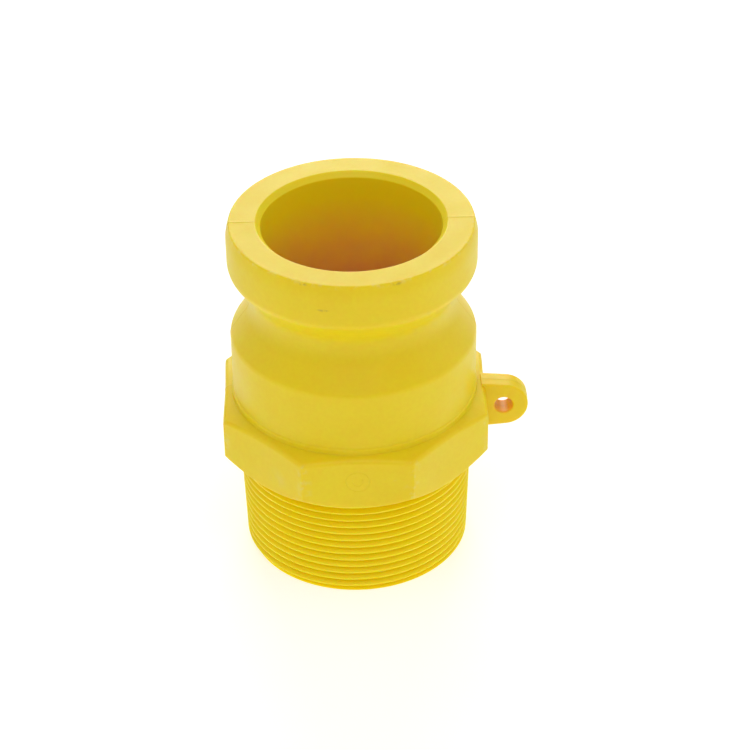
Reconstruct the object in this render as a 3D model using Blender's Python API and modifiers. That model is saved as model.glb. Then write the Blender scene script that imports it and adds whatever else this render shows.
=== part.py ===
"""A 2 inch camlock adapter with a tapered male pipe thread, moulded in one piece.

Heights below are measured up the bore axis from the threaded end, and radii from that axis. An empty
lowers the whole part so that the world origin is on the bore axis, at the height of its centre of mass.
+Z points out of the sealing face, and the tether lug points along +X.
"""

import math

import bmesh
import bpy
from mathutils import Matrix

MM = 0.001

# Whole part
OVERALL_HEIGHT = 95.7 * MM
CENTRE_OF_MASS_HEIGHT = 47.6 * MM
ROUND_STEPS = 48

# Nose flange, whose flat top seals on the coupler's gasket. Its side leans in over the lead-in's length.
TIP_RADIUS = 31.5 * MM
LEAD_IN_LENGTH = 2.8 * MM
LEAD_IN_STEP = 0.8 * MM
TIP_EDGE_RADIUS = 0.46 * MM
HEEL_HEIGHT = 85.4 * MM
HEEL_RADIUS = 4.0 * MM

# Groove that the coupler's cam arms press into
GROOVE_HEIGHT = 74.3 * MM
GROOVE_ARC_RADIUS = 7.94 * MM
NECK_RADIUS = 26.0 * MM

# Skirt between the groove and the wrench collar
SHOULDER_HEIGHT = 62.9 * MM
SHOULDER_RADIUS = 2.7 * MM
SKIRT_FOOT_HEIGHT = 48.0 * MM
FOOT_RING_HEIGHT = 47.6 * MM
FOOT_RING_STEP = 0.3 * MM

# Octagonal wrench collar, with a shallow cone over its corners and a steeper one under them
ACROSS_FLATS = 68.0 * MM
FLAT_TOP_HEIGHT = 45.6 * MM
FLAT_BOTTOM_HEIGHT = 31.35 * MM
TOP_CONE_SLOPE = math.radians(15.0)
BOTTOM_CONE_SLOPE = math.radians(40.5)
COLLAR_FLOOR_HEIGHT = 30.0 * MM

# Tapered thread: 11.5 threads to the inch on a 1 in 16 taper, right handed
PITCH = 25.4 / 11.5 * MM
RADIUS_PER_HEIGHT = 1.0 / 32.0
CREST_RADIUS = 29.5 * MM
THREAD_DEPTH = 1.6 * MM
CREST_WIDTH = 0.36 * MM
THREAD_START_HEIGHT = -2.98 * MM
THREAD_TURNS = 16
SPIGOT_END_RADIUS = 29.0 * MM

# Bore
BORE_RADIUS = 22.7 * MM
MOUTH_CHAMFER = 1.3 * MM
TAIL_CHAMFER = 0.5 * MM

# Tether lug on the +X flat
LUG_THICKNESS = 5.8 * MM
LUG_CENTRE_REACH = 39.05 * MM
LUG_CENTRE_HEIGHT = 39.6 * MM
LUG_END_RADIUS = 6.15 * MM
LUG_ROOT_REACH = 33.0 * MM
LUG_ROOT_HALF_HEIGHT = 6.7 * MM
LUG_EDGE_RADIUS = 0.4 * MM
EYE_REACH = 38.8 * MM
EYE_RADIUS = 2.3 * MM
EYE_CHAMFER = 0.25 * MM

# How far a cutter runs past the surface that it cuts, and a joined shape into its neighbour
OVERRUN = 2.0 * MM
MERGE_DISTANCE = 0.00001


def clear_scene():
    """Removes every object of the scene that Blender opened with."""
    for obj in list(bpy.data.objects):
        bpy.data.objects.remove(obj, do_unlink=True)


def new_collection(name):
    """A collection linked to the scene."""
    collection = bpy.data.collections.new(name)
    bpy.context.scene.collection.children.link(collection)
    return collection


def add_object(name, mesh, collection, parent):
    """An object of this mesh, under the empty that sets the origin."""
    obj = bpy.data.objects.new(name, mesh)
    collection.objects.link(obj)
    obj.parent = parent
    return obj


def add_helper(name, mesh, collection, parent):
    """A shape that is only joined to the body or cut from it."""
    obj = add_object(name, mesh, collection, parent)
    obj.hide_render = True
    obj.display_type = "WIRE"
    return obj


def add_boolean(obj, other, operation):
    """Joins this object to another one, cuts it or keeps what both share."""
    boolean = obj.modifiers.new(f"{operation.lower()} {other.name}", "BOOLEAN")
    boolean.operation = operation
    boolean.solver = "EXACT"
    boolean.object = other


def arc(centre_radius, centre_height, arc_radius, start, end, steps):
    """Points (radius, height) of an arc between two angles, which are measured up from straight out."""
    points = []
    for i in range(steps + 1):
        angle = start + (end - start) * i / steps
        points.append(
            (centre_radius + arc_radius * math.cos(angle), centre_height + arc_radius * math.sin(angle))
        )
    return points


def profile_mesh(name, points):
    """A mesh of one open line through these points (radius, height), in the XZ plane."""
    mesh = bpy.data.meshes.new(name)
    edges = [(i, i + 1) for i in range(len(points) - 1)]
    mesh.from_pydata([(radius, 0.0, height) for radius, height in points], edges, [])
    return mesh


def add_turn(obj):
    """Turns a profile once round the Z axis. The profile runs down its outer side."""
    screw = obj.modifiers.new("turn", "SCREW")
    screw.steps = ROUND_STEPS
    screw.render_steps = ROUND_STEPS
    screw.use_merge_vertices = True
    screw.merge_threshold = MERGE_DISTANCE
    return screw


def joining_line_angle(outer, inner):
    """The angle at which a straight line leaves the outward bulging arc to meet the inward one below it.

    Each arc is (centre radius, centre height, arc radius). The line leaves both arcs smoothly.
    """
    run = inner[0] - outer[0]
    rise = inner[1] - outer[1]
    return math.atan2(rise, run) + math.acos((outer[2] + inner[2]) / math.hypot(run, rise))


def flipped(circle):
    """The same arc, with heights measured downward."""
    return (circle[0], -circle[1], circle[2])


def make_nose(helpers, parent):
    """The flange, groove and skirt, turned as one solid without the bore."""
    lean = math.atan2(LEAD_IN_STEP, LEAD_IN_LENGTH)
    edge_inset = LEAD_IN_STEP + TIP_EDGE_RADIUS * (1 - math.sin(lean)) / math.cos(lean)
    edge = (TIP_RADIUS - edge_inset, OVERALL_HEIGHT - TIP_EDGE_RADIUS, TIP_EDGE_RADIUS)
    heel = (TIP_RADIUS - HEEL_RADIUS, HEEL_HEIGHT, HEEL_RADIUS)
    groove = (NECK_RADIUS + GROOVE_ARC_RADIUS, GROOVE_HEIGHT, GROOVE_ARC_RADIUS)
    shoulder = (TIP_RADIUS - SHOULDER_RADIUS, SHOULDER_HEIGHT, SHOULDER_RADIUS)
    heel_end = joining_line_angle(heel, groove)
    shoulder_start = -joining_line_angle(flipped(shoulder), flipped(groove))
    buried_height = (FLAT_TOP_HEIGHT + FLAT_BOTTOM_HEIGHT) / 2

    points = [(0.0, OVERALL_HEIGHT)]
    points += arc(*edge, math.pi / 2, lean, 3)
    points.append((TIP_RADIUS, OVERALL_HEIGHT - LEAD_IN_LENGTH))
    points += arc(*heel, 0.0, heel_end, 4)
    points += arc(*groove, math.pi + heel_end, math.pi + shoulder_start, 9)
    points += arc(*shoulder, shoulder_start, 0.0, 4)
    points.append((TIP_RADIUS, SKIRT_FOOT_HEIGHT))
    points.append((TIP_RADIUS + FOOT_RING_STEP, FOOT_RING_HEIGHT))
    points.append((TIP_RADIUS + FOOT_RING_STEP, buried_height))
    points.append((0.0, buried_height))
    nose = add_helper("nose_and_skirt", profile_mesh("nose_and_skirt", points), helpers, parent)
    add_turn(nose)
    return nose


def make_collar(helpers, parent):
    """The octagonal prism, kept only inside a turned shape with the two cones."""
    apothem = ACROSS_FLATS / 2
    corner_radius = apothem / math.cos(math.pi / 8)
    middle = (FLAT_TOP_HEIGHT + FLAT_BOTTOM_HEIGHT) / 2
    half_corner = Matrix.Rotation(math.pi / 8, 4, "Z")
    prism = bmesh.new()
    bmesh.ops.create_cone(
        prism,
        cap_ends=True,
        segments=8,
        radius1=corner_radius,
        radius2=corner_radius,
        depth=FLAT_TOP_HEIGHT,
        matrix=Matrix.Translation((0.0, 0.0, middle)) @ half_corner,
    )
    mesh = bpy.data.meshes.new("wrench_collar")
    prism.to_mesh(mesh)
    prism.free()
    collar = add_helper("wrench_collar", mesh, helpers, parent)

    def over(radius):
        return FLAT_TOP_HEIGHT - (radius - apothem) * math.tan(TOP_CONE_SLOPE)

    def under(radius):
        return FLAT_BOTTOM_HEIGHT + (radius - apothem) * math.tan(BOTTOM_CONE_SLOPE)

    crown_radius = TIP_RADIUS - OVERRUN
    outer_radius = corner_radius + OVERRUN
    floor_radius = apothem - (FLAT_BOTTOM_HEIGHT - COLLAR_FLOOR_HEIGHT) / math.tan(BOTTOM_CONE_SLOPE)
    points = [
        (0.0, over(crown_radius)),
        (crown_radius, over(crown_radius)),
        (outer_radius, over(outer_radius)),
        (outer_radius, under(outer_radius)),
        (floor_radius, COLLAR_FLOOR_HEIGHT),
        (0.0, COLLAR_FLOOR_HEIGHT),
    ]
    cones = add_helper("collar_cones", profile_mesh("collar_cones", points), helpers, parent)
    add_turn(cones)
    add_boolean(collar, cones, "INTERSECT")
    return collar


def make_spigot(helpers, parent):
    """The threaded end: a helical ribbon one pitch wide, tapered, closed at both ends and trimmed."""
    flank = (PITCH - CREST_WIDTH) / 2
    root_radius = CREST_RADIUS - THREAD_DEPTH
    points = [
        (root_radius, THREAD_START_HEIGHT + PITCH),
        (CREST_RADIUS, THREAD_START_HEIGHT + PITCH - flank),
        (CREST_RADIUS, THREAD_START_HEIGHT + flank),
        (root_radius, THREAD_START_HEIGHT),
    ]
    ribbon = add_object("thread_ribbon", profile_mesh("thread_ribbon", points), helpers, None)
    screw = add_turn(ribbon)
    screw.screw_offset = PITCH
    screw.iterations = THREAD_TURNS
    graph = bpy.context.evaluated_depsgraph_get()
    mesh = bpy.data.meshes.new_from_object(ribbon.evaluated_get(graph))
    mesh.name = "threaded_spigot"
    bpy.data.objects.remove(ribbon)

    solid = bmesh.new()
    solid.from_mesh(mesh)
    bmesh.ops.remove_doubles(solid, verts=solid.verts, dist=MERGE_DISTANCE)
    for vert in solid.verts:
        radius = vert.co.xy.length
        vert.co.xy *= (radius + vert.co.z * RADIUS_PER_HEIGHT) / radius
    close_end(solid, lambda height: height < PITCH)
    close_end(solid, lambda height: height > PITCH)
    solid.to_mesh(mesh)
    solid.free()
    spigot = add_helper("threaded_spigot", mesh, helpers, parent)

    reach = CREST_RADIUS + 2 * OVERRUN
    points = [
        (0.0, OVERALL_HEIGHT),
        (reach, OVERALL_HEIGHT),
        (reach, reach - SPIGOT_END_RADIUS),
        (SPIGOT_END_RADIUS, 0.0),
        (0.0, 0.0),
    ]
    trim = add_helper("spigot_trim", profile_mesh("spigot_trim", points), helpers, parent)
    add_turn(trim)
    add_boolean(spigot, trim, "INTERSECT")
    return spigot


def close_end(solid, at_this_end):
    """Closes one open end of the ribbon with faces that run in to a point on the axis."""
    rim = [edge for edge in solid.edges if edge.is_boundary and at_this_end(edge.verts[0].co.z)]
    spread = bmesh.ops.extrude_edge_only(solid, edges=rim)["geom"]
    inner = [item for item in spread if isinstance(item, bmesh.types.BMVert)]
    mean_height = sum(vert.co.z for vert in inner) / len(inner)
    bmesh.ops.pointmerge(solid, verts=inner, merge_co=(0.0, 0.0, mean_height))


def make_bore(helpers, parent):
    """The cutter for the bore, with its lead-in chamfer at the mouth and a small one at the tail."""
    points = [
        (0.0, OVERALL_HEIGHT + OVERRUN),
        (BORE_RADIUS + MOUTH_CHAMFER + OVERRUN, OVERALL_HEIGHT + OVERRUN),
        (BORE_RADIUS, OVERALL_HEIGHT - MOUTH_CHAMFER),
        (BORE_RADIUS, TAIL_CHAMFER),
        (BORE_RADIUS + TAIL_CHAMFER + OVERRUN, -OVERRUN),
        (0.0, -OVERRUN),
    ]
    bore = add_helper("bore", profile_mesh("bore", points), helpers, parent)
    add_turn(bore)
    return bore


def make_lug(helpers, parent):
    """The tether lug: an upright plate whose straight edges close in on a round end."""
    lean = math.asin((LUG_ROOT_HALF_HEIGHT - LUG_END_RADIUS) / (LUG_CENTRE_REACH - LUG_ROOT_REACH))
    outline = [(LUG_ROOT_REACH, LUG_CENTRE_HEIGHT + LUG_ROOT_HALF_HEIGHT)]
    outline += arc(
        LUG_CENTRE_REACH, LUG_CENTRE_HEIGHT, LUG_END_RADIUS, math.pi / 2 - lean, lean - math.pi / 2, 14
    )
    outline.append((LUG_ROOT_REACH, LUG_CENTRE_HEIGHT - LUG_ROOT_HALF_HEIGHT))
    plate = bmesh.new()
    side = plate.faces.new([plate.verts.new((x, -LUG_THICKNESS / 2, z)) for x, z in outline])
    far_side = bmesh.ops.extrude_face_region(plate, geom=[side])["geom"]
    moved = [item for item in far_side if isinstance(item, bmesh.types.BMVert)]
    bmesh.ops.translate(plate, verts=moved, vec=(0.0, LUG_THICKNESS, 0.0))
    bmesh.ops.recalc_face_normals(plate, faces=plate.faces)
    mesh = bpy.data.meshes.new("tether_lug")
    plate.to_mesh(mesh)
    plate.free()
    lug = add_helper("tether_lug", mesh, helpers, parent)
    bevel = lug.modifiers.new("moulded edge", "BEVEL")
    bevel.width = LUG_EDGE_RADIUS
    bevel.segments = 1
    bevel.limit_method = "ANGLE"
    bevel.angle_limit = math.radians(60.0)
    return lug


def make_eye(helpers, parent):
    """The cutter for the lug's hole, with a small chamfer at each face."""
    half = LUG_THICKNESS / 2
    points = [
        (0.0, half + OVERRUN),
        (EYE_RADIUS + EYE_CHAMFER + OVERRUN, half + OVERRUN),
        (EYE_RADIUS, half - EYE_CHAMFER),
        (EYE_RADIUS, EYE_CHAMFER - half),
        (EYE_RADIUS + EYE_CHAMFER + OVERRUN, -half - OVERRUN),
        (0.0, -half - OVERRUN),
    ]
    eye = add_helper("lug_eye", profile_mesh("lug_eye", points), helpers, parent)
    screw = add_turn(eye)
    screw.steps = ROUND_STEPS // 2
    screw.render_steps = screw.steps
    eye.location = (EYE_REACH, 0.0, LUG_CENTRE_HEIGHT)
    eye.rotation_euler = (math.pi / 2, 0.0, 0.0)
    return eye


def moulded_polypropylene():
    """Glass-filled polypropylene, pigmented yellow right through, with a satin moulded surface."""
    material = bpy.data.materials.new("yellow_polypropylene")
    material.use_nodes = True
    shader = material.node_tree.nodes["Principled BSDF"]
    shader.inputs["Base Color"].default_value = (0.73, 0.53, 0.026, 1.0)
    shader.inputs["Roughness"].default_value = 0.45
    shader.inputs["Metallic"].default_value = 0.0
    return material


def make_body(parts, helpers, parent):
    """The moulding: everything above joined into one solid, then bored and pierced."""
    body = add_object("adapter_body", bpy.data.meshes.new("adapter_body"), parts, parent)
    body.data.materials.append(moulded_polypropylene())
    add_boolean(body, make_nose(helpers, parent), "UNION")
    add_boolean(body, make_collar(helpers, parent), "UNION")
    add_boolean(body, make_spigot(helpers, parent), "UNION")
    add_boolean(body, make_lug(helpers, parent), "UNION")
    add_boolean(body, make_bore(helpers, parent), "DIFFERENCE")
    add_boolean(body, make_eye(helpers, parent), "DIFFERENCE")
    return body


def main():
    """Builds the adapter."""
    clear_scene()
    parts = new_collection("camlock_adapter")
    helpers = new_collection("cutters_and_joined_shapes")
    origin = bpy.data.objects.new("threaded_end", None)
    origin.location.z = -CENTRE_OF_MASS_HEIGHT
    parts.objects.link(origin)
    make_body(parts, helpers, origin)


main()
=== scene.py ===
"""A two inch camlock adapter, moulded in one piece in yellow polypropylene, on a white table.

The adapter stands on its threaded end. Every size is in metres. Heights on the adapter are measured up
the bore axis from the threaded end, and reaches are measured out from that axis. The one moulded piece
takes the place of the solid adapter body, and the frame says how high the threaded end is.
"""

import logging
import math
from collections.abc import Callable, Sequence
from dataclasses import dataclass, field
from enum import Enum

import bmesh
import bpy
from mathutils import Matrix, Vector


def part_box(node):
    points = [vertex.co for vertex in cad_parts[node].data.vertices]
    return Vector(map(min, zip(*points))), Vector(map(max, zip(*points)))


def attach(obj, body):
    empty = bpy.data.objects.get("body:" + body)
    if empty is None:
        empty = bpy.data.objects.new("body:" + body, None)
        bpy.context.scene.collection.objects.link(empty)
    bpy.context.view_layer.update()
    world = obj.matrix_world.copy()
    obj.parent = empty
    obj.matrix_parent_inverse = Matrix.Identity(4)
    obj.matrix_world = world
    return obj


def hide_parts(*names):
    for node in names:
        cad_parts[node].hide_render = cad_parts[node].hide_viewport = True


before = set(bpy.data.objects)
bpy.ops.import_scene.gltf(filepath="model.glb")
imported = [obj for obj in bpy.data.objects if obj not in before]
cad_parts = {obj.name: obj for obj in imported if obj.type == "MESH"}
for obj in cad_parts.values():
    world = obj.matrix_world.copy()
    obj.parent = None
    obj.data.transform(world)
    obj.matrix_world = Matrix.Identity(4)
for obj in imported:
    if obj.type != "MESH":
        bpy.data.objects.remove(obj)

logging.basicConfig(level=logging.INFO, format="%(message)s")
log = logging.getLogger("adapter")

MM = 0.001
INCH = 25.4 * MM
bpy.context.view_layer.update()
BODY_NODE = "adapter_body"
BODY = "root"

Outline = list[tuple[float, float]]


# ---- Shaping tools ----


class Join(Enum):
    """How one solid is combined with another."""

    ADD = "UNION"
    CUT = "DIFFERENCE"
    KEEP_SHARED = "INTERSECT"


@dataclass(frozen=True)
class Corner:
    """A corner of an outline in a half plane through the bore axis.

    Attributes:
        reach: Distance out from the axis.
        height: Height above the threaded end.
        radius: Radius that the corner is rounded to, or 0 for a sharp one.
        steps: Straight stretches that the rounding is drawn with.
    """

    reach: float
    height: float
    radius: float = 0.0
    steps: int = 4

    def rounded(self, before: Vector, after: Vector) -> list[Vector]:
        """Points of the rounded corner.

        Args:
            before: The outline's last corner.
            after: The outline's next corner.

        Returns:
            The points in order, from the first side to the second.
        """
        here = Vector((self.reach, self.height))
        if self.radius == 0.0:
            return [here]
        back = (before - here).normalized()
        on = (after - here).normalized()
        half_turn = (math.pi - back.angle(on)) / 2
        setback = self.radius * math.tan(half_turn)
        start, end = here + back * setback, here + on * setback
        centre = here + (back + on).normalized() * (self.radius / math.cos(half_turn))
        first, last = start - centre, end - centre
        points = []
        for i in range(self.steps + 1):
            share = i / self.steps
            blend = (
                first * math.sin((1 - share) * 2 * half_turn) + last * math.sin(share * 2 * half_turn)
            ) / math.sin(2 * half_turn)
            points.append(centre + blend)
        return points


def outline(corners: Sequence[Corner]) -> Outline:
    """Draws an outline through its corners.

    Args:
        corners: The corners in order. The first and the last one stay sharp.

    Returns:
        Points (reach, height).
    """
    places = [Vector((corner.reach, corner.height)) for corner in corners]
    points = [places[0]]
    for i in range(1, len(corners) - 1):
        points += corners[i].rounded(places[i - 1], places[i + 1])
    points.append(places[-1])
    return [(point.x, point.y) for point in points]


def even_angles(count: int) -> list[float]:
    """Angles spread evenly over one turn."""
    return [math.tau * i / count for i in range(count)]


def turned(name: str, section: Callable[[float], Outline], angles: Sequence[float]) -> bpy.types.Object:
    """Makes a closed solid from an outline that may change as it goes round the axis.

    Args:
        name: The solid's name.
        section: Gives the outline at an angle. It runs from the axis, down the outer side, to the axis,
            and has the same number of points at every angle.
        angles: Where the outline is drawn, in order, over one turn.

    Returns:
        The solid.
    """
    outlines = [section(angle) for angle in angles]
    rows = len(outlines[0]) - 2
    points = [(0.0, 0.0, outlines[0][0][1])]
    for angle, line in zip(angles, outlines, strict=True):
        points += [(r * math.cos(angle), r * math.sin(angle), h) for r, h in line[1:-1]]
    points.append((0.0, 0.0, outlines[0][-1][1]))
    top, bottom = 0, len(points) - 1
    faces = []
    for i in range(len(angles)):
        here, there = 1 + i * rows, 1 + (i + 1) % len(angles) * rows
        faces.append((top, here, there))
        faces += [(here + j, here + j + 1, there + j + 1, there + j) for j in range(rows - 1)]
        faces.append((here + rows - 1, bottom, there + rows - 1))
    mesh = bpy.data.meshes.new(name)
    mesh.from_pydata(points, [], faces)
    return add_object(name, mesh)


def stacked(name: str, loops: Sequence[Sequence[Vector]]) -> bpy.types.Object:
    """Makes a closed solid from a stack of loops that have the same number of points.

    Args:
        name: The solid's name.
        loops: The loops in order. The first and the last one are its end faces.

    Returns:
        The solid.
    """
    count = len(loops[0])
    faces = [tuple(range(count)), tuple(range(len(loops) * count - 1, (len(loops) - 1) * count - 1, -1))]
    for i in range(len(loops) - 1):
        for j in range(count):
            here, there = i * count + j, i * count + (j + 1) % count
            faces.append((there, here, here + count, there + count))
    mesh = bpy.data.meshes.new(name)
    mesh.from_pydata([point for loop in loops for point in loop], [], faces)
    face_outwards(mesh)
    return add_object(name, mesh)


def face_outwards(mesh: bpy.types.Mesh) -> None:
    """Joins points that lie on each other, and turns every face of a closed mesh outwards."""
    shape = bmesh.new()
    shape.from_mesh(mesh)
    bmesh.ops.remove_doubles(shape, verts=shape.verts, dist=0.001 * MM)
    bmesh.ops.recalc_face_normals(shape, faces=shape.faces)
    shape.to_mesh(mesh)
    shape.free()


def add_object(name: str, mesh: bpy.types.ID) -> bpy.types.Object:
    """Adds an object to the scene."""
    obj = bpy.data.objects.new(name, mesh)
    bpy.context.scene.collection.objects.link(obj)
    return obj


def evaluated_mesh(obj: bpy.types.Object) -> bpy.types.Mesh:
    """Takes an object's mesh, with its modifiers and its place applied, and removes the object.

    Args:
        obj: A mesh or curve object.

    Returns:
        The mesh.
    """
    bpy.context.view_layer.update()
    graph = bpy.context.evaluated_depsgraph_get()
    mesh = bpy.data.meshes.new_from_object(obj.evaluated_get(graph))
    mesh.transform(obj.matrix_world)
    mesh.name = obj.name
    bpy.data.objects.remove(obj)
    return mesh


def combine(solid: bpy.types.Object, other: bpy.types.Object, join: Join) -> bpy.types.Object:
    """Combines two solids into one, and uses both up.

    Args:
        solid: The solid to change.
        other: The solid that is added, cut away or shared.
        join: How the two are combined.

    Returns:
        The new solid, under the first one's name.
    """
    name = solid.name
    boolean = solid.modifiers.new(join.name.lower(), "BOOLEAN")
    boolean.operation = join.value
    boolean.solver = "MANIFOLD"
    boolean.object = other
    mesh = evaluated_mesh(solid)
    bpy.data.objects.remove(other)
    mesh.name = name
    return add_object(name, mesh)


# ---- The adapter's zones, each one a solid that the moulding is made from ----


@dataclass(frozen=True)
class PartingLine:
    """The faint ridge where the two halves of the mould met, in the plane through the lug.

    Attributes:
        height: How far the ridge stands out.
        half_width: Half of the width of its foot on the collar.
        flat_share: The part of the half width that is flat on top.
    """

    height: float = 0.06 * MM
    half_width: float = 0.17 * MM
    flat_share: float = 0.35

    def offsets(self) -> list[float]:
        """Distances from the ridge's middle at which a section is drawn."""
        near, far = self.half_width * self.flat_share, self.half_width
        return [-far, -near, 0.0, near, far]

    def rise(self, offset: float) -> float:
        """How far the surface stands out at a distance from the ridge's middle."""
        share = (1.0 - abs(offset) / self.half_width) / (1.0 - self.flat_share)
        return self.height * min(1.0, max(0.0, share))


@dataclass
class Bore:
    """The straight bore, with a lead-in chamfer at the mouth and a small one at the tail.

    Two cores form it. The tail core is a hair slimmer, which leaves a fine step where they meet.
    """

    reach: float = 22.7 * MM
    mouth_chamfer: float = 1.3 * MM
    mouth_edge_radius: float = 0.45 * MM
    tail_chamfer: float = 0.5 * MM
    core_step: float = 0.03 * MM
    core_meeting_height: float = 36.0 * MM
    overrun: float = 2.0 * MM
    columns: int = 240

    def mouth(self, top: float) -> list[Corner]:
        """The outline's corners, from the axis where the cores meet, up the bore, to the sealing face.

        Args:
            top: Height of the sealing face.

        Returns:
            The corners.
        """
        return [
            Corner(0.0, self.core_meeting_height),
            Corner(self.reach, self.core_meeting_height),
            Corner(self.reach, top - self.mouth_chamfer, 0.5 * MM, 3),
            Corner(self.reach + self.mouth_chamfer, top, self.mouth_edge_radius, 5),
        ]

    def tail_core(self) -> bpy.types.Object:
        """The solid that the tail core takes away."""
        reach = self.reach - self.core_step
        line = outline(
            [
                Corner(0.0, self.core_meeting_height + self.overrun),
                Corner(reach, self.core_meeting_height + self.overrun),
                Corner(reach, self.tail_chamfer, 0.2 * MM, 3),
                Corner(reach + self.tail_chamfer + self.overrun, -self.overrun),
                Corner(0.0, -self.overrun),
            ]
        )
        return turned("tail_core", lambda _: line, even_angles(self.columns))


@dataclass
class Nose:
    """The tip that goes into a coupler: a flange with the sealing face, the cam groove and the skirt."""

    top: float = 95.7 * MM
    reach: float = 31.5 * MM
    lead_in_length: float = 2.8 * MM
    lead_in_step: float = 0.8 * MM
    lead_in_radius: float = 12.0 * MM
    edge_radius: float = 0.46 * MM
    heel_height: float = 84.01 * MM
    heel_radius: float = 4.0 * MM
    groove_height: float = 74.67 * MM
    groove_reach: float = 24.11 * MM
    groove_radius: float = 7.94 * MM
    shoulder_height: float = 63.73 * MM
    shoulder_radius: float = 2.7 * MM
    foot_height: float = 48.0 * MM
    ring_height: float = 47.6 * MM
    ring_step: float = 0.3 * MM

    @property
    def ring_reach(self) -> float:
        """Distance from the axis to the low ring round the foot of the skirt."""
        return self.reach + self.ring_step

    def corners(self) -> list[Corner]:
        """The outline's corners, from the edge of the sealing face down to the foot of the skirt."""
        return [
            Corner(self.reach - self.lead_in_step, self.top, self.edge_radius, 8),
            Corner(self.reach, self.top - self.lead_in_length, self.lead_in_radius, 4),
            Corner(self.reach, self.heel_height, self.heel_radius, 10),
            Corner(self.groove_reach, self.groove_height, self.groove_radius, 20),
            Corner(self.reach, self.shoulder_height, self.shoulder_radius, 8),
            Corner(self.reach, self.foot_height, 0.4 * MM, 3),
            Corner(self.ring_reach, self.ring_height, 0.3 * MM, 3),
        ]


@dataclass
class WrenchCollar:
    """The octagon that a wrench holds, with a shallow cone over its corners and a steep one under them."""

    across_flats: float = 68.0 * MM
    corner_radius: float = 0.5 * MM
    flat_top: float = 45.6 * MM
    flat_bottom: float = 31.35 * MM
    over_slope: float = math.radians(15.0)
    under_slope: float = math.radians(40.5)
    floor_height: float = 30.0 * MM
    upper_edge_radius: float = 1.3 * MM
    lower_edge_radius: float = 0.6 * MM
    sink_depth: float = 0.25 * MM
    columns_on_a_flat: int = 32
    columns_on_a_corner: int = 8

    @property
    def apothem(self) -> float:
        """Distance from the axis to a flat."""
        return self.across_flats / 2

    @property
    def corner_centre(self) -> float:
        """Distance from the axis to the centre of a corner's rounding."""
        return (self.apothem - self.corner_radius) / math.cos(math.pi / 8)

    @property
    def corner_half_angle(self) -> float:
        """Half of the angle that one rounded corner takes up, seen from the axis."""
        across = self.corner_radius * math.sin(math.pi / 8)
        return math.atan2(across, self.corner_centre + self.corner_radius * math.cos(math.pi / 8))

    def reach(self, angle: float) -> float:
        """Distance from the axis to the octagon's side, whose flats sank a little as the thick wall cooled.

        Args:
            angle: Direction, with a flat at 0.

        Returns:
            The distance.
        """
        off_flat = math.remainder(angle, math.pi / 4)
        off_corner = math.pi / 8 - abs(off_flat)
        if off_corner > self.corner_half_angle:
            share = off_flat / (math.pi / 8 - self.corner_half_angle)
            return self.apothem / math.cos(off_flat) - self.sink_depth * (1 - share**2) ** 2
        sideways = self.corner_centre * math.sin(off_corner)
        outward = self.corner_centre * math.cos(off_corner)
        return outward + math.sqrt(self.corner_radius**2 - sideways**2)

    def over(self, reach: float) -> float:
        """Height of the shallow cone at a distance from the axis."""
        return self.flat_top - (reach - self.apothem) * math.tan(self.over_slope)

    def under(self, reach: float) -> float:
        """Height of the steep cone at a distance from the axis."""
        return self.flat_bottom + (reach - self.apothem) * math.tan(self.under_slope)

    def angles(self, parting_line: PartingLine) -> list[float]:
        """Directions that a section is drawn in: close together at each corner and parting line.

        Args:
            parting_line: The ridge that needs its own sections.

        Returns:
            The directions in order.
        """
        found = set()
        half_flat = math.pi / 8 - self.corner_half_angle
        for side in range(8):
            middle = side * math.pi / 4
            for i in range(self.columns_on_a_flat + 1):
                found.add(round(middle + half_flat * (2 * i / self.columns_on_a_flat - 1), 9))
            for i in range(1, self.columns_on_a_corner):
                share = 2 * i / self.columns_on_a_corner - 1
                found.add(round(middle + math.pi / 8 + self.corner_half_angle * share, 9))
        for side in (0.0, math.pi):
            found |= {round(side + offset / self.apothem, 9) for offset in parting_line.offsets()}
        return sorted(found)

    def corners(self, angle: float, ring_reach: float) -> list[Corner]:
        """The outline's corners, from the foot of the skirt to the collar's floor.

        Args:
            angle: Direction of the section.
            ring_reach: Distance out to the ring round the foot of the skirt.

        Returns:
            The corners.
        """
        side = self.reach(angle)
        floor_reach = self.apothem - (self.flat_bottom - self.floor_height) / math.tan(self.under_slope)
        return [
            Corner(ring_reach, self.over(ring_reach), 0.25 * MM, 3),
            Corner(side, self.over(side), self.upper_edge_radius, 8),
            Corner(side, self.under(side), self.lower_edge_radius, 5),
            Corner(floor_reach, self.floor_height, 0.4 * MM, 3),
            Corner(0.0, self.floor_height),
        ]


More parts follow.
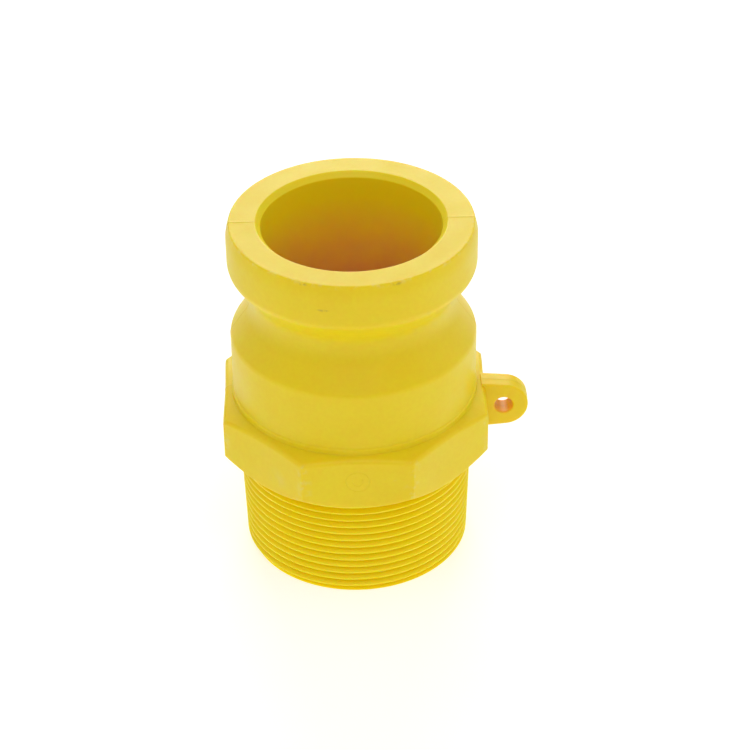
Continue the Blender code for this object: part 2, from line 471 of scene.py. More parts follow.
@dataclass
class ThreadedSpigot:
    """The tapered male pipe thread, 11.5 turns to the inch on a 1 in 16 taper, right handed."""

    pitch: float = INCH / 11.5
    radius_per_height: float = 1.0 / 32.0
    crest_reach: float = 29.5 * MM
    depth: float = 1.6 * MM
    crest_width: float = 0.42 * MM
    crest_radius: float = 0.22 * MM
    root_radius: float = 0.1 * MM
    root_steps: int = 6
    start_height: float = -2.98 * MM
    turns: int = 16
    end_reach: float = 29.0 * MM
    steps: int = 240

    def ribbon(self) -> Outline:
        """One turn's outline, from the root above a crest to the root below it."""
        root = self.crest_reach - self.depth
        low, high = self.start_height, self.start_height + self.pitch
        flank = (self.pitch - self.crest_width) / 2
        ridge = outline(
            [
                Corner(self.crest_reach, high + flank),
                Corner(root, high, self.root_radius, self.root_steps),
                Corner(self.crest_reach, high - flank, self.crest_radius, 3),
                Corner(self.crest_reach, low + flank, self.crest_radius, 3),
                Corner(root, low, self.root_radius, self.root_steps),
                Corner(self.crest_reach, low - flank),
            ]
        )
        spare = 1 + self.root_steps // 2
        return ridge[spare:-spare]

    def solid(self) -> bpy.types.Object:
        """Winds the ribbon up, tapers it, closes it and trims its end.

        Returns:
            The spigot.
        """
        points = self.ribbon()
        mesh = bpy.data.meshes.new("ribbon")
        edges = [(i, i + 1) for i in range(len(points) - 1)]
        mesh.from_pydata([(r, 0.0, h) for r, h in points], edges, [])
        ribbon = add_object("threaded_spigot", mesh)
        screw = ribbon.modifiers.new("wind", "SCREW")
        screw.steps = screw.render_steps = self.steps
        screw.screw_offset = self.pitch
        screw.iterations = self.turns
        wound = evaluated_mesh(ribbon)

        shape = bmesh.new()
        shape.from_mesh(wound)
        bmesh.ops.remove_doubles(shape, verts=shape.verts, dist=0.001 * MM)
        for vert in shape.verts:
            reach = vert.co.xy.length
            vert.co.xy *= (reach + vert.co.z * self.radius_per_height) / reach
        for below in (True, False):
            rim = [
                edge
                for edge in shape.edges
                if edge.is_boundary and (edge.verts[0].co.z < self.pitch) == below
            ]
            spread = bmesh.ops.extrude_edge_only(shape, edges=rim)["geom"]
            inner = [item for item in spread if isinstance(item, bmesh.types.BMVert)]
            middle = sum(vert.co.z for vert in inner) / len(inner)
            bmesh.ops.pointmerge(shape, verts=inner, merge_co=(0.0, 0.0, middle))
        shape.to_mesh(wound)
        shape.free()
        face_outwards(wound)

        outside = self.crest_reach + 4 * MM
        over = (self.turns + 2) * self.pitch
        trim = [
            Corner(0.0, over),
            Corner(outside, over),
            Corner(outside, outside - self.end_reach),
            Corner(self.end_reach, 0.0, 0.15 * MM, 3),
            Corner(0.0, 0.0),
        ]
        end = turned("spigot_trim", lambda _: outline(trim), even_angles(self.steps))
        return combine(add_object("threaded_spigot", wound), end, Join.KEEP_SHARED)


@dataclass
class TetherLug:
    """The upright plate on the +X flat, with an eye for a dust cap's tether."""

    thickness: float = 5.8 * MM
    centre_reach: float = 39.05 * MM
    centre_height: float = 39.6 * MM
    end_radius: float = 6.15 * MM
    root_reach: float = 33.0 * MM
    root_half_height: float = 6.7 * MM
    edge_radius: float = 0.55 * MM
    eye_reach: float = 38.8 * MM
    eye_radius: float = 2.3 * MM
    eye_edge_radius: float = 0.5 * MM
    end_steps: int = 36
    edge_steps: int = 5

    def _side(self, inset: float, across: float) -> list[Vector]:
        """The plate's side view: straight edges that close in on a round end.

        Args:
            inset: How far the view is drawn in from the full outline.
            across: Where it stands through the plate's thickness.

        Returns:
            The points in order.
        """
        run = self.centre_reach - self.root_reach
        diagonal = math.hypot(run, self.root_half_height)
        last = math.atan2(run, self.root_half_height) + math.asin(self.end_radius / diagonal)
        half_height = self.root_half_height - inset / math.sin(last)
        points = [Vector((self.root_reach, across, self.centre_height + half_height))]
        for i in range(self.end_steps + 1):
            angle = last * (1 - 2 * i / self.end_steps)
            out = (self.end_radius - inset) * math.cos(angle)
            up = (self.end_radius - inset) * math.sin(angle)
            points.append(Vector((self.centre_reach + out, across, self.centre_height + up)))
        points.append(Vector((self.root_reach, across, self.centre_height - half_height)))
        return points

    def solid(self, parting_line: PartingLine) -> bpy.types.Object:
        """The plate with rounded edges, and the parting line round its middle.

        Args:
            parting_line: The ridge.

        Returns:
            The plate.
        """
        layers = []
        for i in range(self.edge_steps + 1):
            turn = math.pi / 2 * i / self.edge_steps
            inset = self.edge_radius * (1 - math.sin(turn))
            layers.append((self.edge_radius * (1 - math.cos(turn)) - self.thickness / 2, inset))
        layers += [(offset, -parting_line.rise(offset)) for offset in parting_line.offsets()]
        layers += [(-across, inset) for across, inset in reversed(layers[: self.edge_steps + 1])]
        return stacked("tether_lug", [self._side(inset, across) for across, inset in layers])

    def eye(self) -> bpy.types.Object:
        """The solid that the eye takes away, flared with a rounded edge at each face.

        Returns:
            The cutter.
        """
        half = self.thickness / 2
        flare = self.eye_radius + self.eye_edge_radius
        over = half + 1.0 * MM
        line = outline(
            [
                Corner(0.0, over),
                Corner(flare, over),
                Corner(flare, half),
                Corner(self.eye_radius, half, self.eye_edge_radius * 0.999, 5),
                Corner(self.eye_radius, -half, self.eye_edge_radius * 0.999, 5),
                Corner(flare, -half),
                Corner(flare, -over),
                Corner(0.0, -over),
            ]
        )
        cutter = turned("eye", lambda _: line, even_angles(64))
        cutter.matrix_world = Matrix.Translation((self.eye_reach, 0.0, self.centre_height)) @ Matrix.Rotation(
            math.pi / 2, 4, "X"
        )
        return add_object("eye", evaluated_mesh(cutter))


@dataclass
class WitnessMark:
    """The plain round mark that a mould pin leaves on the front flat: a ring and a broken ring in it."""

    height: float = 39.45 * MM
    ring_radius: float = 2.95 * MM
    inner_radius: float = 1.35 * MM
    line_radius: float = 0.3 * MM
    line_depth: float = 0.07 * MM
    inner_share: float = 0.75
    inner_start: float = math.radians(150.0)
    inner_end: float = math.radians(400.0)

    def grooves(self, flat_reach: float) -> list[bpy.types.Object]:
        """The solids that the mark's two fine grooves take away.

        Args:
            flat_reach: Distance from the axis to the flat.

        Returns:
            A ring and a broken ring, half sunk in the flat.
        """
        fine = self.inner_share * self.line_radius
        return [
            self._wire(flat_reach, self.ring_radius, 0.0, math.tau, self.line_radius),
            self._wire(flat_reach, self.inner_radius, self.inner_start, self.inner_end, fine),
        ]

    def _wire(self, reach: float, radius: float, start: float, end: float, thick: float) -> bpy.types.Object:
        """A round wire bent along an arc on the front flat."""
        curve = bpy.data.curves.new("mark", "CURVE")
        curve.dimensions = "3D"
        curve.bevel_depth = thick
        curve.bevel_resolution = 3
        curve.use_fill_caps = True
        steps = 64
        closed = end - start > math.tau - 0.001
        count = steps if closed else steps + 1
        spline = curve.splines.new("POLY")
        spline.points.add(count - 1)
        spline.use_cyclic_u = closed
        sunk = reach + thick - self.line_depth
        for i, point in enumerate(spline.points):
            angle = start + (end - start) * i / steps
            place = (radius * math.cos(angle), -sunk, self.height + radius * math.sin(angle))
            point.co = (*place, 1.0)
        mesh = evaluated_mesh(add_object("mark", curve))
        face_outwards(mesh)
        return add_object("mark", mesh)


@dataclass
class Adapter:
    """The whole adapter, which is one injection moulding with no loose or moving piece."""

    bore: Bore = field(default_factory=Bore)
    nose: Nose = field(default_factory=Nose)
    collar: WrenchCollar = field(default_factory=WrenchCollar)
    spigot: ThreadedSpigot = field(default_factory=ThreadedSpigot)
    lug: TetherLug = field(default_factory=TetherLug)
    mark: WitnessMark = field(default_factory=WitnessMark)
    parting_line: PartingLine = field(default_factory=PartingLine)
    sharp_angle: float = math.radians(35.0)

    def _section(self, angle: float) -> Outline:
        """The outline of the nose and the collar in one direction, with the parting line's ridge on it.

        Args:
            angle: Direction from the axis, with the lug at 0.

        Returns:
            Points (reach, height), from the axis at the cores' meeting to the axis at the collar's floor.
        """
        line = outline(
            [
                *self.bore.mouth(self.nose.top),
                *self.nose.corners(),
                *self.collar.corners(angle, self.nose.ring_reach),
            ]
        )
        ridge = self.parting_line.rise(math.remainder(angle, math.pi) * self.collar.apothem)
        bore_edge = self.bore.reach + self.bore.mouth_chamfer
        raised = []
        for reach, height in line:
            on_top = height > self.nose.top - self.nose.edge_radius / 2
            out = ridge if reach > bore_edge and not on_top else 0.0
            raised.append((reach + out, height + (ridge if on_top else 0.0)))
        return raised

    def build(self) -> bpy.types.Object:
        """Makes the moulding, standing where the solid body stands.

        Returns:
            The moulding.
        """
        moulding = turned("adapter_moulding", self._section, self.collar.angles(self.parting_line))
        moulding = combine(moulding, self.spigot.solid(), Join.ADD)
        moulding = combine(moulding, self.lug.solid(self.parting_line), Join.ADD)
        moulding = combine(moulding, self.bore.tail_core(), Join.CUT)
        moulding = combine(moulding, self.lug.eye(), Join.CUT)
        for groove in self.mark.grooves(self.collar.apothem - self.collar.sink_depth):
            moulding = combine(moulding, groove, Join.CUT)
        threaded_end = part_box(BODY_NODE)[0].z
        moulding.data.transform(Matrix.Translation((0.0, 0.0, threaded_end)))
        return self._shade(moulding)

    def _shade(self, moulding: bpy.types.Object) -> bpy.types.Object:
        """Shades the rounded edges smoothly, keeps flat faces flat and leaves sharp edges sharp.

        Args:
            moulding: The finished shape.

        Returns:
            The moulding with its normals set.
        """
        mesh = moulding.data
        mesh.shade_smooth()
        mesh.set_sharp_from_angle(angle=self.sharp_angle)
        weighted = moulding.modifiers.new("flat faces", "WEIGHTED_NORMAL")
        weighted.keep_sharp = True
        name = moulding.name
        mesh = evaluated_mesh(moulding)
        mesh.name = name
        return add_object(name, mesh)


# ---- Finishes ----


def linear(colour: str) -> tuple[float, float, float, float]:
    """Turns an sRGB hex colour to linear light.

    Args:
        colour: Such as "#E8CB18".

    Returns:
        Red, green, blue and an alpha of 1.
    """
    channels = [int(colour[i : i + 2], 16) / 255 for i in (1, 3, 5)]
    lit = [c / 12.92 if c <= 0.04045 else ((c + 0.055) / 1.055) ** 2.4 for c in channels]
    return (*lit, 1.0)


Value = bpy.types.NodeSocket | float | tuple[float, ...]


def add_node(
    tree: bpy.types.NodeTree,
    kind: str,
    inputs: dict[str | int, Value] | None = None,
    output: str | int = 0,
    **settings: object,
) -> bpy.types.NodeSocket | None:
    """Adds a node, makes its settings, and fills or links its inputs.

    Args:
        tree: The tree that gets the node.
        kind: The node's type, after "ShaderNode".
        inputs: What each input gets, by its name or place: another node's output, or a value.
        output: Which of the node's outputs is used, by its name or place.
        **settings: The node's own settings.

    Returns:
        That output, or nothing where the node has no outputs.
    """
    node = tree.nodes.new(f"ShaderNode{kind}")
    for name, setting in settings.items():
        setattr(node, name, setting)
    for key, value in (inputs or {}).items():
        if isinstance(value, bpy.types.NodeSocket):
            tree.links.new(value, node.inputs[key])
        else:
            node.inputs[key].default_value = value
    return node.outputs[output] if node.outputs else None


@dataclass(frozen=True)
class Scuff:
    """A mark that handling left.

    Attributes:
        place: Its middle, measured from the axis at the threaded end.
        reaches: How far it spreads along X, Y and Z.
        dark: Whether it is grime, and not a pale rub.
    """

    place: tuple[float, float, float]
    reaches: tuple[float, float, float]
    dark: bool


@dataclass(frozen=True)
class MouldedPolypropylene:
    """Yellow polypropylene, injection moulded in a satin mould and handled since.

    The plastic is a little milky, so light creeps about a millimetre into it, which softens the shade
    between the threads and makes thin edges glow. The skin is satin rather than glossy. It is one plastic
    all over. The tones of the thread, the bore and the eye stand in for light that comes through the walls
    and back off neighbouring faces, which the studio's lamps don't give enough of there.
    """

    colour: str = "#F3DA14"
    warm_colour: str = "#F0D30F"
    # Painted light: the thread and the collar's underside are painted a brighter yellow, for light bounced
    # onto them.
    thread_light_colour: str = "#FFE30F"
    # Painted light in the bore: a brighter yellow at the mouth, turning orange further in as painted shade
    # and bounce light.
    bore_light_colour: str = "#FFE014"
    deep_shade_and_bounce_colour: str = "#E4A05A"
    deep_shade_start: float = 7.0 * MM
    deep_shade_end: float = 33.0 * MM
    deep_shade_lump: float = 7.0 * MM
    # Painted shade and bounce light: the wall of the tether eye is painted orange.
    eye_light_colour: str = "#EE9A3A"
    eye_light_share: float = 0.6
    # How far a tone fades on each side of the edge where it starts.
    fade: float = 0.1 * MM
    # Rubbed edges are pale in patches, as high spots are rubbed first. The same pale colour also paints the
    # highlights on these edges.
    rubbed_and_highlight_colour: str = "#EFE6B0"
    rub_and_highlight_share: float = 0.25
    patch: float = 1.6 * MM
    # This dark colour is dirt, nicks and specks, and also paints the shade along the parting line's ridge.
    dirt_and_ridge_shade_colour: str = "#A0803C"
    ridge_shade_share: float = 0.12
    scuff_share: float = 0.5
    ior: float = 1.49
    specular: float = 0.35
    roughness: float = 0.42
    roughness_spread: float = 0.05
    roughness_of_marks: float = 0.15
    gloss_patch: float = 8.0 * MM
    creep_radius: tuple[float, float, float] = (1.0, 0.55, 0.1)
    creep_depth: float = 1.2 * MM
    # Flow marks are as wide as the melt front's ripples. They give the broad faces a slightly uneven tone.
    flow_mark: float = 16.0 * MM
    # Pigment that is unevenly spread. It keeps broad faces from looking printed.
    mottle: float = 1.1 * MM
    mottle_share: float = 0.45
    # Orange peel from the mould's polish. It breaks up the highlights on the flats.
    peel: float = 3.0 * MM
    peel_depth: float = 0.012 * MM
    # The mould's grit, about 0.1 mm wide, is drawn five times as coarse so that it shows at all.
    grain: float = 0.5 * MM
    grain_depth: float = 0.006 * MM
    # Burnt pigment shows as specks of up to 0.3 mm, a centimetre or more apart.
    speck: float = 0.16 * MM
    speck_spacing: float = 6.0 * MM
    speck_share: float = 0.22
    # Scratches, about 0.05 mm wide, are drawn four times as wide so that they show.
    scratch_width: float = 0.2 * MM
    scratch_length: float = 7.0 * MM
    scratch_depth: float = 0.01 * MM
    scratch_turns: tuple[tuple[float, float, float], ...] = ((0.3, 0.2, 0.5), (1.2, 0.7, -0.4))
    # Lines that the core drew along the bore as it came out.
    draw_line: float = 0.7 * MM
    draw_line_depth: float = 0.006 * MM
    scuffs: tuple[Scuff, ...] = (
        Scuff((-12.3 * MM, -28.3 * MM, 95.2 * MM), (1.6 * MM, 1.0 * MM, 0.5 * MM), True),
        Scuff((10.3 * MM, -29.0 * MM, 95.2 * MM), (1.7 * MM, 1.0 * MM, 0.5 * MM), True),
        Scuff((-7.5 * MM, -30.6 * MM, 89.0 * MM), (2.5 * MM, 1.0 * MM, 0.4 * MM), True),
        Scuff((-14.6 * MM, -33.0 * MM, 39.0 * MM), (1.6 * MM, 1.6 * MM, 5.0 * MM), False),
        Scuff((-20.5 * MM, -27.3 * MM, 36.0 * MM), (4.5 * MM, 4.5 * MM, 4.0 * MM), False),
        Scuff((8.0 * MM, -33.9 * MM, 39.8 * MM), (3.0 * MM, 1.0 * MM, 0.5 * MM), False),
    )

    def material(self, adapter: Adapter, threaded_end: float) -> bpy.types.Material:
        """Makes the material.

        Args:
            adapter: The moulding's sizes, which say where its edges and its bore are.
            threaded_end: Height of the threaded end in the scene.

        Returns:
            The material.
        """
        material = bpy.data.materials.new("moulded polypropylene, yellow, satin")
        material.use_nodes = True
        tree = material.node_tree
        tree.nodes.clear()
        place = add_node(tree, "TexCoord", output="Object")
        place = add_node(tree, "Mapping", {0: place, "Location": (0.0, 0.0, -threaded_end)})
        height = add_node(tree, "SeparateXYZ", {0: place}, "Z")
        across = add_node(tree, "VectorMath", {0: place, 1: (1.0, 1.0, 0.0)}, operation="MULTIPLY")
        reach = add_node(tree, "VectorMath", {0: across}, "Value", operation="LENGTH")
        mouth = adapter.bore.reach + adapter.bore.mouth_chamfer
        span = {1: mouth - self.fade, 2: mouth + self.fade, 3: 1.0, 4: 0.0}
        in_bore = add_node(tree, "MapRange", {0: reach, **span})
        # Pale edge patches: partly rub marks, partly a painted highlight.
        wear_and_highlight = self._wear_and_highlight(tree, place, height, reach, adapter)
        scratches = self._scratches(tree, place)
        colour = self._zones(tree, place, height, in_bore, adapter)
        shader = add_node(
            tree,
            "BsdfPrincipled",
            {
                "Base Color": self._aged(tree, place, in_bore, wear_and_highlight, colour),
                "Roughness": self._roughness(tree, place, wear_and_highlight, scratches),
                "Normal": self._relief(tree, place, in_bore, scratches),
                "IOR": self.ior,
                "Specular IOR Level": self.specular,
                "Subsurface Weight": 1.0,
                "Subsurface Radius": self.creep_radius,
                "Subsurface Scale": self.creep_depth,
            },
        )
        add_node(tree, "OutputMaterial", {"Surface": shader})
        return material

    def _wear_and_highlight(
        self, tree: bpy.types.NodeTree, place: Value, height: Value, reach: Value, adapter: Adapter
    ) -> Value:
        """Where edges are pale in patches, at the tip's outer edge and the collar's corners: rub marks that
        also paint a highlight.

        Args:
            tree: The material's tree.
            place: Place on the adapter.
            height: Height above the threaded end.
            reach: Distance from the axis.
            adapter: The moulding's sizes.

        Returns:
            How strong the rub marks and the painted highlight on them are, 0 to 1.
        """
        nose, collar = adapter.nose, adapter.collar
        edge = (nose.reach - nose.lead_in_step, nose.top, 0.0)
        around = add_node(tree, "CombineXYZ", {0: reach, 1: height})
        away = add_node(tree, "VectorMath", {0: around, 1: edge}, "Value", operation="DISTANCE")
        tip_edge = add_node(tree, "MapRange", {0: away, 1: 0.3 * MM, 2: 1.1 * MM, 3: 1.0, 4: 0.0})
        outermost = collar.reach(math.pi / 8)
        corners = add_node(tree, "MapRange", {0: reach, 1: outermost - 1.0 * MM, 2: outermost - 0.1 * MM})
        side = add_node(tree, "SeparateXYZ", {0: place}, "X")
        lug_start = collar.apothem
        off_lug = add_node(tree, "MapRange", {0: side, 1: lug_start, 2: lug_start + 0.5 * MM, 3: 1.0, 4: 0.0})
        corners = add_node(tree, "Math", {0: corners, 1: off_lug}, operation="MULTIPLY")
        worn_and_highlit = add_node(tree, "Math", {0: tip_edge, 1: corners}, operation="MAXIMUM")
        patches = add_node(tree, "TexNoise", {"Vector": place, "Scale": 1 / self.patch, "Detail": 5.0})
        patches = add_node(tree, "MapRange", {0: patches, 1: 0.5, 2: 0.68})
        worn_and_highlit = add_node(tree, "Math", {0: worn_and_highlit, 1: patches}, operation="MULTIPLY")
        return self._scuffed(tree, place, False, worn_and_highlit)

    def _scuffed(self, tree: bpy.types.NodeTree, place: Value, dark: bool, found: Value) -> Value:
        """Adds the dark or the pale scuffs, each one a spot with a ragged edge.

        Args:
            tree: The material's tree.
            place: Place on the adapter.
            dark: Which scuffs.
            found: What they are added to, 0 to 1.

        Returns:
            Both together, 0 to 1.
        """
        for scuff in self.scuffs:
            if scuff.dark is not dark:
                continue
            away = add_node(tree, "VectorMath", {0: place, 1: scuff.place}, operation="SUBTRACT")
            away = add_node(tree, "VectorMath", {0: away, 1: scuff.reaches}, operation="DIVIDE")
            away = add_node(tree, "VectorMath", {0: away}, "Value", operation="LENGTH")
            spot = add_node(tree, "MapRange", {0: away, 1: 0.2, 2: 1.0, 3: 1.0, 4: 0.0})
            lump = 2.2 * min(scuff.reaches)
            ragged = add_node(tree, "TexNoise", {"Vector": place, "Scale": 1 / lump, "Detail": 5.0})
            ragged = add_node(tree, "MapRange", {0: ragged, 1: 0.45, 2: 0.65, 3: 0.0, 4: self.scuff_share})
            spot = add_node(tree, "Math", {0: spot, 1: ragged}, operation="MULTIPLY")
            found = add_node(tree, "Math", {0: found, 1: spot}, operation="MAXIMUM")
        return found

    def _scratches(self, tree: bpy.types.NodeTree, place: Value) -> Value:
        """Sparse fine scratches, which run in two directions.

        Args:
            tree: The material's tree.
            place: Place on the adapter.

        Returns:
            Their strength, 0 to 1.
        """
        found: Value = 0.0
        scale = (1 / self.scratch_length, 1 / self.scratch_width, 1 / self.scratch_width)
        for turn in self.scratch_turns:
            laid = add_node(tree, "Mapping", {0: place, "Rotation": turn})
            laid = add_node(tree, "VectorMath", {0: laid, 1: scale}, operation="MULTIPLY")
            streaks = add_node(tree, "TexNoise", {"Vector": laid, "Scale": 1.0, "Detail": 0.0})
            streaks = add_node(tree, "MapRange", {0: streaks, 1: 0.72, 2: 0.8})
            found = add_node(tree, "Math", {0: found, 1: streaks}, operation="MAXIMUM")
        return found

    def _zones(
        self, tree: bpy.types.NodeTree, place: Value, height: Value, in_bore: Value, adapter: Adapter
    ) -> Value:
        """The colour: the plastic's own flow marks and mottle, and the painted light on the thread, bore and
        eye.

        Args:
            tree: The material's tree.
            place: Place on the adapter.
            height: Height above the threaded end.
            in_bore: 1 in the bore and 0 outside it.
            adapter: The moulding's sizes.

        Returns:
            The colour.
        """
        tones: Value = 0.0
        for size, share in ((self.flow_mark, 1 - self.mottle_share), (self.mottle, self.mottle_share)):
            lumps = add_node(tree, "TexNoise", {"Vector": place, "Scale": 1 / size, "Detail": 3.0})
            lumps = add_node(tree, "MapRange", {0: lumps, 1: 0.35, 2: 0.65, 3: 0.0, 4: share})
            tones = add_node(tree, "Math", {0: tones, 1: lumps}, operation="ADD")
        ends = {6: linear(self.colour), 7: linear(self.warm_colour)}
        colour = add_node(tree, "Mix", {0: tones, **ends}, 2, data_type="RGBA")

        # Painted light: below the wrench flats, the thread and the collar's underside get a brighter yellow.
        top = adapter.collar.flat_bottom + self.fade
        painted_thread_light = add_node(tree, "MapRange", {0: height, 1: top - 0.4 * MM, 2: top, 3: 1.0, 4: 0.0})

        # Painted light in the bore: brighter yellow, turning to a painted orange shade and bounce light with
        # depth from the nearer end.
        from_top = add_node(tree, "Math", {0: adapter.nose.top, 1: height}, operation="SUBTRACT")
        depth = add_node(tree, "Math", {0: from_top, 1: height}, operation="MINIMUM")
        painted_deep_shade = add_node(tree, "MapRange", {0: depth, 1: self.deep_shade_start, 2: self.deep_shade_end})
        uneven = add_node(tree, "TexNoise", {"Vector": place, "Scale": 1 / self.deep_shade_lump, "Detail": 4.0})
        uneven = add_node(tree, "MapRange", {0: uneven, 1: 0.3, 2: 0.7, 3: 0.85, 4: 1.15})
        painted_deep_shade = add_node(tree, "Math", {0: painted_deep_shade, 1: uneven}, operation="MULTIPLY")
        ends = {6: linear(self.bore_light_colour), 7: linear(self.deep_shade_and_bounce_colour)}
        painted_bore_light = add_node(tree, "Mix", {0: painted_deep_shade, **ends}, 2, data_type="RGBA")

        # Painted shade and bounce light: the tether eye's wall turns orange.
        lug = adapter.lug
        middle = (lug.eye_reach, 0.0, lug.centre_height)
        side_view = add_node(tree, "VectorMath", {0: place, 1: (1.0, 0.0, 1.0)}, operation="MULTIPLY")
        away = add_node(tree, "VectorMath", {0: side_view, 1: middle}, "Value", operation="DISTANCE")
        wall = lug.eye_radius + self.fade
        painted_eye_light = add_node(tree, "MapRange", {0: away, 1: wall, 2: wall + 0.3 * MM, 3: self.eye_light_share, 4: 0.0})

        # The painted light is mixed over the plastic's colour here.
        tints = ((painted_thread_light, linear(self.thread_light_colour)), (in_bore, painted_bore_light), (painted_eye_light, linear(self.eye_light_colour)))
        for share, tint in tints:
            colour = add_node(tree, "Mix", {0: share, 6: colour, 7: tint}, 2, data_type="RGBA")
        return colour

    def _aged(
        self, tree: bpy.types.NodeTree, place: Value, in_bore: Value, wear_and_highlight: Value, colour: Value
    ) -> Value:
        """The colour after use, with painted light: pale rub marks on edges that also paint a highlight, a
        painted shade along the parting line, scuffs and specks.

        Args:
            tree: The material's tree.
            place: Place on the adapter.
            in_bore: 1 in the bore and 0 outside it.
            wear_and_highlight: How strong the rub marks are; in the colour they also paint a highlight.
            colour: The plastic's own colour, with the painted light on the thread, bore and eye.

        Returns:
            The colour.
        """
        # Pale rub marks, which also paint the highlights on the edges.
        rub_and_highlight = add_node(tree, "Math", {0: wear_and_highlight, 1: self.rub_and_highlight_share}, operation="MULTIPLY")

        # Painted shade: a darker line along the parting line's ridge, outside the bore.
        off_line = add_node(tree, "SeparateXYZ", {0: place}, "Y")
        off_line = add_node(tree, "Math", {0: off_line}, operation="ABSOLUTE")
        ridge_shade = {1: 0.08 * MM, 2: 0.3 * MM, 3: self.ridge_shade_share, 4: 0.0}
        dirt_and_ridge_shade = add_node(tree, "MapRange", {0: off_line, **ridge_shade})
        outside = add_node(tree, "Math", {0: 1.0, 1: in_bore}, operation="SUBTRACT")
        dirt_and_ridge_shade = add_node(tree, "Math", {0: dirt_and_ridge_shade, 1: outside}, operation="MULTIPLY")
        dirt_and_ridge_shade = self._scuffed(tree, place, True, dirt_and_ridge_shade)

        cells = {"Vector": place, "Scale": 1 / self.speck_spacing}
        away = add_node(tree, "TexVoronoi", cells, "Distance")
        size = self.speck / self.speck_spacing
        specks = add_node(tree, "MapRange", {0: away, 1: size * 0.6, 2: size, 3: 0.8, 4: 0.0})
        chosen = add_node(tree, "TexVoronoi", cells, "Color")
        chosen = add_node(tree, "SeparateColor", {0: chosen})
        chosen = add_node(tree, "Math", {0: chosen, 1: self.speck_share}, operation="LESS_THAN")
        specks = add_node(tree, "Math", {0: specks, 1: chosen}, operation="MULTIPLY")
        dirt_and_ridge_shade = add_node(tree, "Math", {0: dirt_and_ridge_shade, 1: specks}, operation="MAXIMUM")
        # The pale colour paints rub marks and edge highlights; the dark one paints dirt, specks and the shade
        # along the parting line.
        for share, tint in ((rub_and_highlight, self.rubbed_and_highlight_colour), (dirt_and_ridge_shade, self.dirt_and_ridge_shade_colour)):
            colour = add_node(tree, "Mix", {0: share, 6: colour, 7: linear(tint)}, 2, data_type="RGBA")
        return colour

    def _roughness(self, tree: bpy.types.NodeTree, place: Value, wear_and_highlight: Value, scratches: Value) -> Value:
        """The roughness: uneven over the skin, and higher on rub marks and scratches.

        Args:
            tree: The material's tree.
            place: Place on the adapter.
            wear_and_highlight: How strong the rub marks are, which the colour also uses for a painted
                highlight.
            scratches: Where the scratches are.

        Returns:
            The roughness.
        """
        skin = add_node(tree, "TexNoise", {"Vector": place, "Scale": 1 / self.gloss_patch, "Detail": 4.0})
        low, high = self.roughness - self.roughness_spread, self.roughness + self.roughness_spread
        skin = add_node(tree, "MapRange", {0: skin, 1: 0.3, 2: 0.7, 3: low, 4: high})
        marks = add_node(tree, "Math", {0: wear_and_highlight, 1: scratches}, operation="MAXIMUM")
        marks = add_node(tree, "Math", {0: marks, 1: self.roughness_of_marks}, operation="MULTIPLY")
        return add_node(tree, "Math", {0: skin, 1: marks}, operation="ADD")

    def _relief(self, tree: bpy.types.NodeTree, place: Value, in_bore: Value, scratches: Value) -> Value:
        """The fine relief: orange peel, grain, scratches, and lines that the core drew along the bore.

        Args:
            tree: The material's tree.
            place: Place on the adapter.
            in_bore: 1 in the bore and 0 outside it.
            scratches: Where the scratches are.

        Returns:
            The normal.
        """
        drawn = add_node(tree, "VectorMath", {0: place, 1: (1.0, 1.0, 0.02)}, operation="MULTIPLY")
        height = add_node(tree, "Math", {0: scratches, 1: -self.scratch_depth}, operation="MULTIPLY")
        patterns = (
            (place, self.peel, self.peel_depth, 1.0),
            (place, self.grain, self.grain_depth, 1.0),
            (drawn, self.draw_line, self.draw_line_depth, in_bore),
        )
        for where, size, depth, share in patterns:
            lumps = add_node(tree, "TexNoise", {"Vector": where, "Scale": 1 / size})
            for factor in (depth, share):
                lumps = add_node(tree, "Math", {0: lumps, 1: factor}, operation="MULTIPLY")
            height = add_node(tree, "Math", {0: height, 1: lumps}, operation="ADD")
        return add_node(tree, "Bump", {"Height": height, "Distance": 1.0})


@dataclass(frozen=True)
class WhiteAcrylicTable:
    """A white acrylic table top, lit from below, so that it throws soft light up at what stands on it."""

    colour: str = "#D8D8D8"
    glow: float = 0.5

    def material(self) -> bpy.types.Material:
        """Makes the material."""
        material = bpy.data.materials.new("cast acrylic, white, lit from below")
        material.use_nodes = True
        tree = material.node_tree
        tree.nodes.clear()
        shader = add_node(
            tree,
            "BsdfPrincipled",
            {
                "Base Color": linear(self.colour),
                "Roughness": 0.7,
                "Emission Color": linear("#FFFFFF"),
                "Emission Strength": self.glow,
            },
        )
        add_node(tree, "OutputMaterial", {"Surface": shader})
        return material


# ---- The studio ----


@dataclass(frozen=True)
class SoftBox:
    """A square of soft light.

    Attributes:
        name: What it does.
        place: Where it stands, in metres from the adapter's middle.
        side: Length of its side in metres.
        power: Power in watts.
    """

    name: str
    place: tuple[float, float, float]
    side: float
    power: float

    def build(self) -> bpy.types.Object:
        """Makes the light, facing the adapter."""
        light = bpy.data.lights.new(self.name, "AREA")
        light.shape = "SQUARE"
        light.size = self.side
        light.energy = self.power
        obj = add_object(self.name, light)
        obj.location = self.place
        obj.rotation_euler = Vector(self.place).to_track_quat("Z", "Y").to_euler()
        return obj


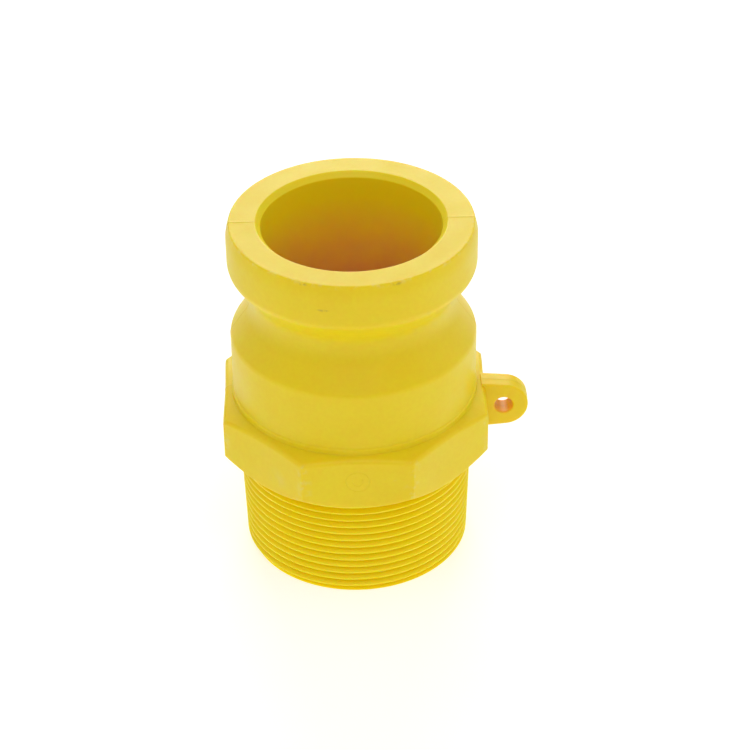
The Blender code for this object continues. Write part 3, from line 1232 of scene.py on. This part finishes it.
@dataclass
class Studio:
    """A white table top, soft light from all round, and the camera."""

    half_width: float = 20.0
    camera_place: tuple[float, float, float] = (-5.507 * MM, -500.277 * MM, 353.717 * MM)
    tilt: float = 0.6145
    heading: float = 0.0217
    roll: float = -0.0131
    lens: float = 113.065
    surround: float = 0.36
    # The lens sees a paler backdrop than the surroundings light the adapter with.
    backdrop: float = 0.95
    soft_boxes: tuple[SoftBox, ...] = (
        SoftBox("overhead soft box", (0.0, 0.001, 1.6), 2.4, 7.2),
        SoftBox("left soft box", (-1.6, 0.0, 0.75), 1.4, 2.1),
        SoftBox("right soft box", (1.6, 0.0, 0.75), 1.4, 3.5),
        SoftBox("front top soft box", (0.0, -1.0, 1.4), 1.4, 5.8),
        SoftBox("low back soft box", (0.0, 1.8, 0.6), 1.2, 20.0),
    )

    def _table(self) -> bpy.types.Object:
        """The table top, at the height of the threaded end."""
        side = self.half_width
        mesh = bpy.data.meshes.new("table")
        corners = [(-side, -side, 0), (side, -side, 0), (side, side, 0), (-side, side, 0)]
        mesh.from_pydata(corners, [], [(0, 1, 2, 3)])
        table = add_object("table", mesh)
        table.location.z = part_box(BODY_NODE)[0].z
        table.data.materials.append(WhiteAcrylicTable().material())
        return table

    def _camera(self) -> bpy.types.Object:
        """The camera."""
        lens = bpy.data.cameras.new("camera")
        lens.lens = self.lens
        lens.sensor_width = 36.0
        camera = add_object("camera", lens)
        turn = (
            Matrix.Rotation(-self.heading, 4, "Z")
            @ Matrix.Rotation(math.pi / 2 - self.tilt, 4, "X")
            @ Matrix.Rotation(self.roll, 4, "Z")
        )
        camera.matrix_world = Matrix.Translation(self.camera_place) @ turn
        bpy.context.scene.camera = camera
        return camera

    def build(self) -> None:
        """Makes the table, the lights, the surroundings and the camera."""
        table = self._table()
        for soft_box in self.soft_boxes:
            soft_box.build()
        world = bpy.data.worlds.new("white surround")
        bpy.context.scene.world = world
        world.use_nodes = True
        background = world.node_tree.nodes["Background"]
        background.inputs["Color"].default_value = linear("#FFFFFF")
        tree = world.node_tree
        seen = add_node(tree, "LightPath", output="Is Camera Ray")
        strength = add_node(tree, "MapRange", {0: seen, 3: self.surround, 4: self.backdrop})
        tree.links.new(strength, background.inputs["Strength"])
        bpy.context.scene.view_settings.view_transform = "Standard"
        self._camera()


def main() -> None:
    """Builds the adapter and the studio."""
    adapter = Adapter()
    moulding = adapter.build()
    moulding.data.materials.clear()
    moulding.data.materials.append(MouldedPolypropylene().material(adapter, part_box(BODY_NODE)[0].z))
    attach(moulding, BODY)
    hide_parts(BODY_NODE)
    log.info("%s: %d faces", moulding.name, len(moulding.data.polygons))
    Studio().build()
    log.info("studio ready")


if __name__ == "__main__":
    main()
